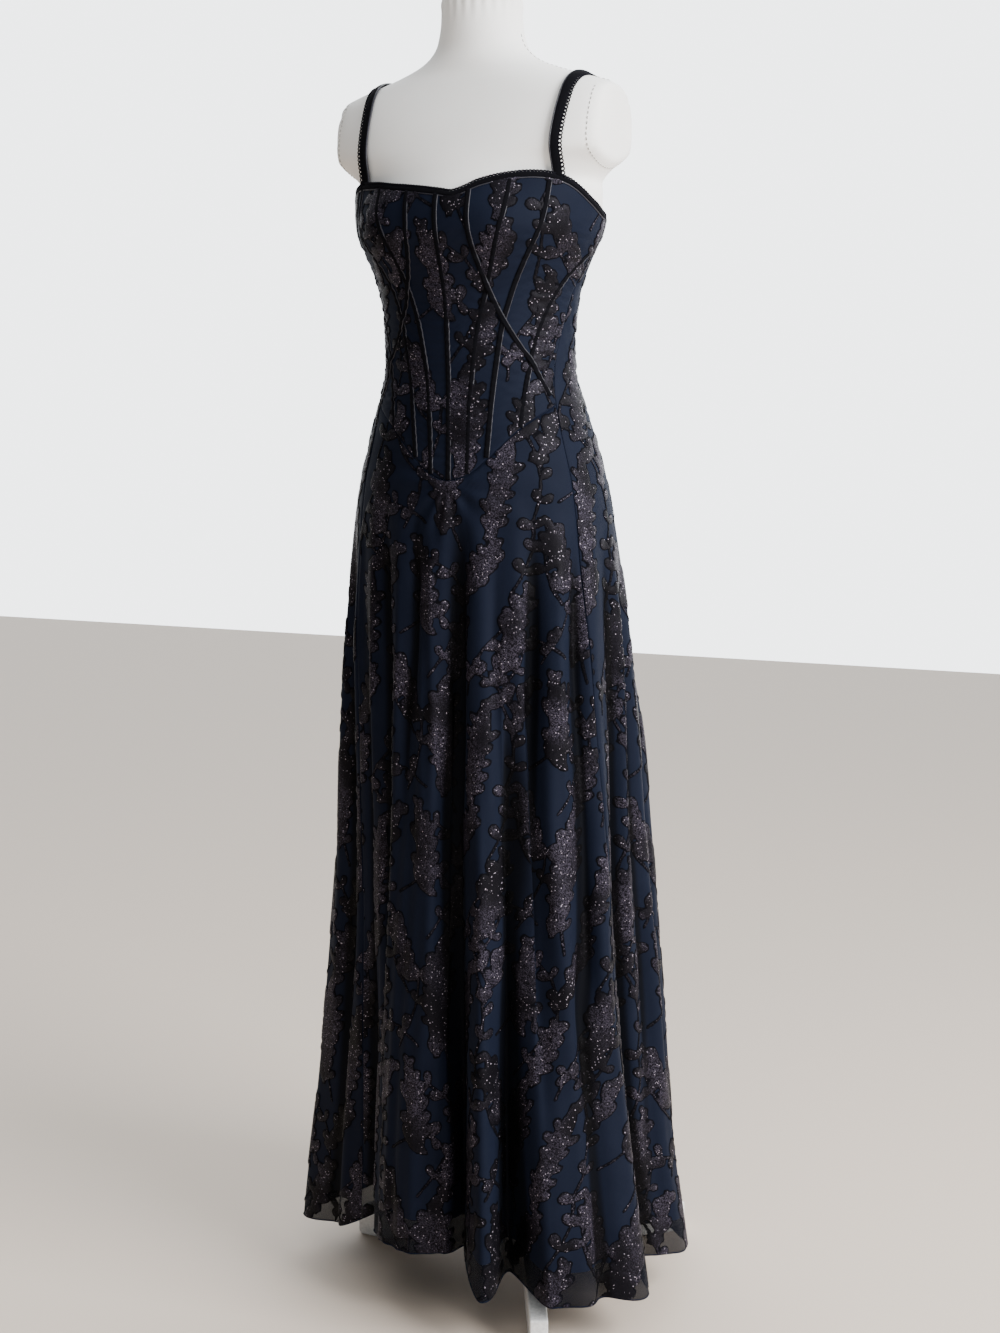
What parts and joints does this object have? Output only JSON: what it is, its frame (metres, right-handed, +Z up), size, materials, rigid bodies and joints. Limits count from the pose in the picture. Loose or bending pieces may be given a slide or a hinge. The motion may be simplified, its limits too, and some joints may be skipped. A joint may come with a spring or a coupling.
{
  "type": "chiffon maxi dress on a dress form",
  "caption": "Long sleeveless dress with a boned pointed bodice, narrow straps and a full folded skirt, on a limbless dress form with a three-legged stand",
  "frame": {"origin": "on the floor, in the middle of the whole part's bounding box seen from above; the form's axis is at x -0.0116, y -0.0330 and the pole's at x 0.0314, y 0.0012", "axes": "+Z up, -Y is the front of the dress, +X is the wearer's left"},
  "size_m": [0.4789, 0.4609, 1.4745],
  "materials": {
    "chiffon": "sheer navy chiffon with woven dark floral sprays that glint",
    "lining": "plain navy woven lining",
    "velvet": "near-black velvet",
    "jersey": "off-white jersey cover",
    "white_paint": "satin white paint",
    "zip_metal": "navy painted zip slide"
  },
  "bodies": {
    "dressed_form": {"bodice_front": "chiffon", "skirt_front": "chiffon", "side_panel_left": "chiffon", "side_panel_right": "chiffon", "back_panel_left": "chiffon", "back_panel_right": "chiffon", "skirt_lining": "lining", "ribbon_centre": "velvet", "ribbon_inner_left": "velvet", "ribbon_middle_left": "velvet", "ribbon_outer_left": "velvet", "ribbon_crossing_left": "velvet", "ribbon_inner_right": "velvet", "ribbon_middle_right": "velvet", "ribbon_outer_right": "velvet", "ribbon_crossing_right": "velvet", "neckline_binding": "velvet", "picot_edge": "velvet", "strap_left": "velvet", "strap_right": "velvet", "strap_picot_left": "velvet", "strap_picot_right": "velvet", "form_body": "jersey", "pole": "white_paint", "hub": "white_paint", "leg_1": "white_paint", "leg_2": "white_paint", "leg_3": "white_paint", "zip_slide": "zip_metal"},
    "zip_pull": {"zip_pull": "zip_metal"}
  },
  "joints": [
    {"name": "zip_pull_swing", "type": "hinge", "parent": "dressed_form", "child": "zip_pull", "pos_m": [-0.0116, 0.06683, 1.2127], "axis": [1, 0, 0], "range_deg": [0, 150]}
  ]
}
